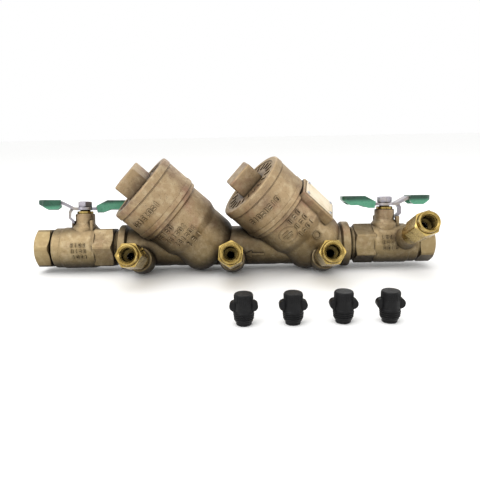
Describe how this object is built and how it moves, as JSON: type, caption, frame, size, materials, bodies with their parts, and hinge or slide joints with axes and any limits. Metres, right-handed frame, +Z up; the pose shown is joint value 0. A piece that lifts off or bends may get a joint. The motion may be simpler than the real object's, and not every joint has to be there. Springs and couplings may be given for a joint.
{
  "type": "backflow preventer",
  "caption": "Bronze double-check backflow preventer: inclined spring checks under screwed covers, ball valves at both ends, brass test cocks and loose black cock plugs.",
  "frame": {"origin": "middle of the bounding box's bottom face, on the surface the device and its plugs stand on", "axes": "+X along the pipe from the outlet to the inlet, +Z up off the surface, -Y towards the side the test cocks point to"},
  "size_m": [0.351, 0.163, 0.0997],
  "materials": {
    "bronze_casting": "as cast, satin",
    "bronze_machined": "machined, satin",
    "brass": "machined, polished",
    "chromed_brass": "polished",
    "zinc_steel": "zinc plated, satin",
    "stainless": "satin",
    "green_vinyl": "gloss",
    "black_rubber": "matte",
    "ptfe": "matte",
    "acetal": "satin",
    "black_plastic": "satin",
    "cream_plate": "painted, matte"
  },
  "bodies": {
    "device": {"body_casting": "bronze_casting", "nameplate": "cream_plate", "nameplate_screws": "stainless", "check1_cover": "bronze_casting", "check1_cover_oring": "black_rubber", "check1_seat": "brass", "check1_seat_oring": "black_rubber", "check1_spring": "stainless", "check2_cover": "bronze_casting", "check2_cover_oring": "black_rubber", "check2_seat": "brass", "check2_seat_oring": "black_rubber", "check2_spring": "stainless", "inlet_valve_body": "bronze_casting", "inlet_valve_end": "bronze_machined", "inlet_ball_seats": "ptfe", "inlet_stem_packing": "ptfe", "inlet_gland": "brass", "outlet_valve_body": "bronze_casting", "outlet_valve_end": "bronze_machined", "outlet_ball_seats": "ptfe", "outlet_stem_packing": "ptfe", "outlet_gland": "brass", "testcock1_body": "brass", "testcock1_seats": "ptfe", "testcock2_body": "brass", "testcock2_seats": "ptfe", "testcock3_body": "brass", "testcock3_seats": "ptfe", "testcock4_body": "brass", "testcock4_seats": "ptfe"},
    "check1_poppet_body": {"check1_poppet": "acetal", "check1_seal_disc": "black_rubber", "check1_disc_retainer": "stainless"},
    "check2_poppet_body": {"check2_poppet": "acetal", "check2_seal_disc": "black_rubber", "check2_disc_retainer": "stainless"},
    "inlet_handle_body": {"inlet_ball": "chromed_brass", "inlet_stem": "brass", "inlet_handle": "zinc_steel", "inlet_handle_nut": "zinc_steel", "inlet_grips": "green_vinyl"},
    "outlet_handle_body": {"outlet_ball": "chromed_brass", "outlet_stem": "brass", "outlet_handle": "zinc_steel", "outlet_handle_nut": "zinc_steel", "outlet_grips": "green_vinyl"},
    "testcock1_spindle_body": {"testcock1_spindle": "brass"},
    "testcock2_spindle_body": {"testcock2_spindle": "brass"},
    "testcock3_spindle_body": {"testcock3_spindle": "brass"},
    "testcock4_spindle_body": {"testcock4_spindle": "brass"},
    "plug_1_body": {"plug_1": "black_plastic"},
    "plug_2_body": {"plug_2": "black_plastic"},
    "plug_3_body": {"plug_3": "black_plastic"},
    "plug_4_body": {"plug_4": "black_plastic"}
  },
  "joints": [
    {"name": "inlet_valve_turn", "type": "hinge", "parent": "device", "child": "inlet_handle_body", "pos_m": [0.134, 0.0541, 0.021], "axis": [0, 0.1219, 0.9925], "range_deg": [0, 90]},
    {"name": "outlet_valve_turn", "type": "hinge", "parent": "device", "child": "outlet_handle_body", "pos_m": [-0.134, 0.0541, 0.021], "axis": [0, 0.2079, 0.9781], "range_deg": [0, 90]},
    {"name": "check1_poppet_slide", "type": "slide", "parent": "device", "child": "check1_poppet_body", "axis": [-0.7193, -0.1444, 0.6795], "range_m": [0, 0.009], "stiffness_N_per_m": 250, "springref_m": -0.012, "deforming": ["check1_spring"]},
    {"name": "check2_poppet_slide", "type": "slide", "parent": "device", "child": "check2_poppet_body", "axis": [-0.7193, -0.1444, 0.6795], "range_m": [0, 0.009], "stiffness_N_per_m": 250, "springref_m": -0.012, "deforming": ["check2_spring"]},
    {"name": "testcock1_turn", "type": "hinge", "parent": "device", "child": "testcock1_spindle_body", "pos_m": [0.0765, 0.00398, 0.02474], "axis": [0.866, 0.1726, 0.4692], "range_deg": [0, 90]},
    {"name": "testcock2_turn", "type": "hinge", "parent": "device", "child": "testcock2_spindle_body", "pos_m": [-0.0015, 0.00398, 0.02474], "axis": [0.5736, 0.2829, 0.7688], "range_deg": [0, 90]},
    {"name": "testcock3_turn", "type": "hinge", "parent": "device", "child": "testcock3_spindle_body", "pos_m": [-0.08, 0.00398, 0.02474], "axis": [0.866, 0.1726, 0.4692], "range_deg": [0, 90]},
    {"name": "testcock4_turn", "type": "hinge", "parent": "device", "child": "testcock4_spindle_body", "pos_m": [0.1486, 0.007, 0.04397], "axis": [0.682, 0.3206, 0.6573], "range_deg": [0, 90]},
    {"name": "plug_1_lift", "type": "slide", "parent": "device", "child": "plug_1_body", "axis": [0, 0, 1], "range_m": [0, 0.04]},
    {"name": "plug_2_lift", "type": "slide", "parent": "device", "child": "plug_2_body", "axis": [0, 0, 1], "range_m": [0, 0.04]},
    {"name": "plug_3_lift", "type": "slide", "parent": "device", "child": "plug_3_body", "axis": [0, 0, 1], "range_m": [0, 0.04]},
    {"name": "plug_4_lift", "type": "slide", "parent": "device", "child": "plug_4_body", "axis": [0, 0, 1], "range_m": [0, 0.04]}
  ]
}
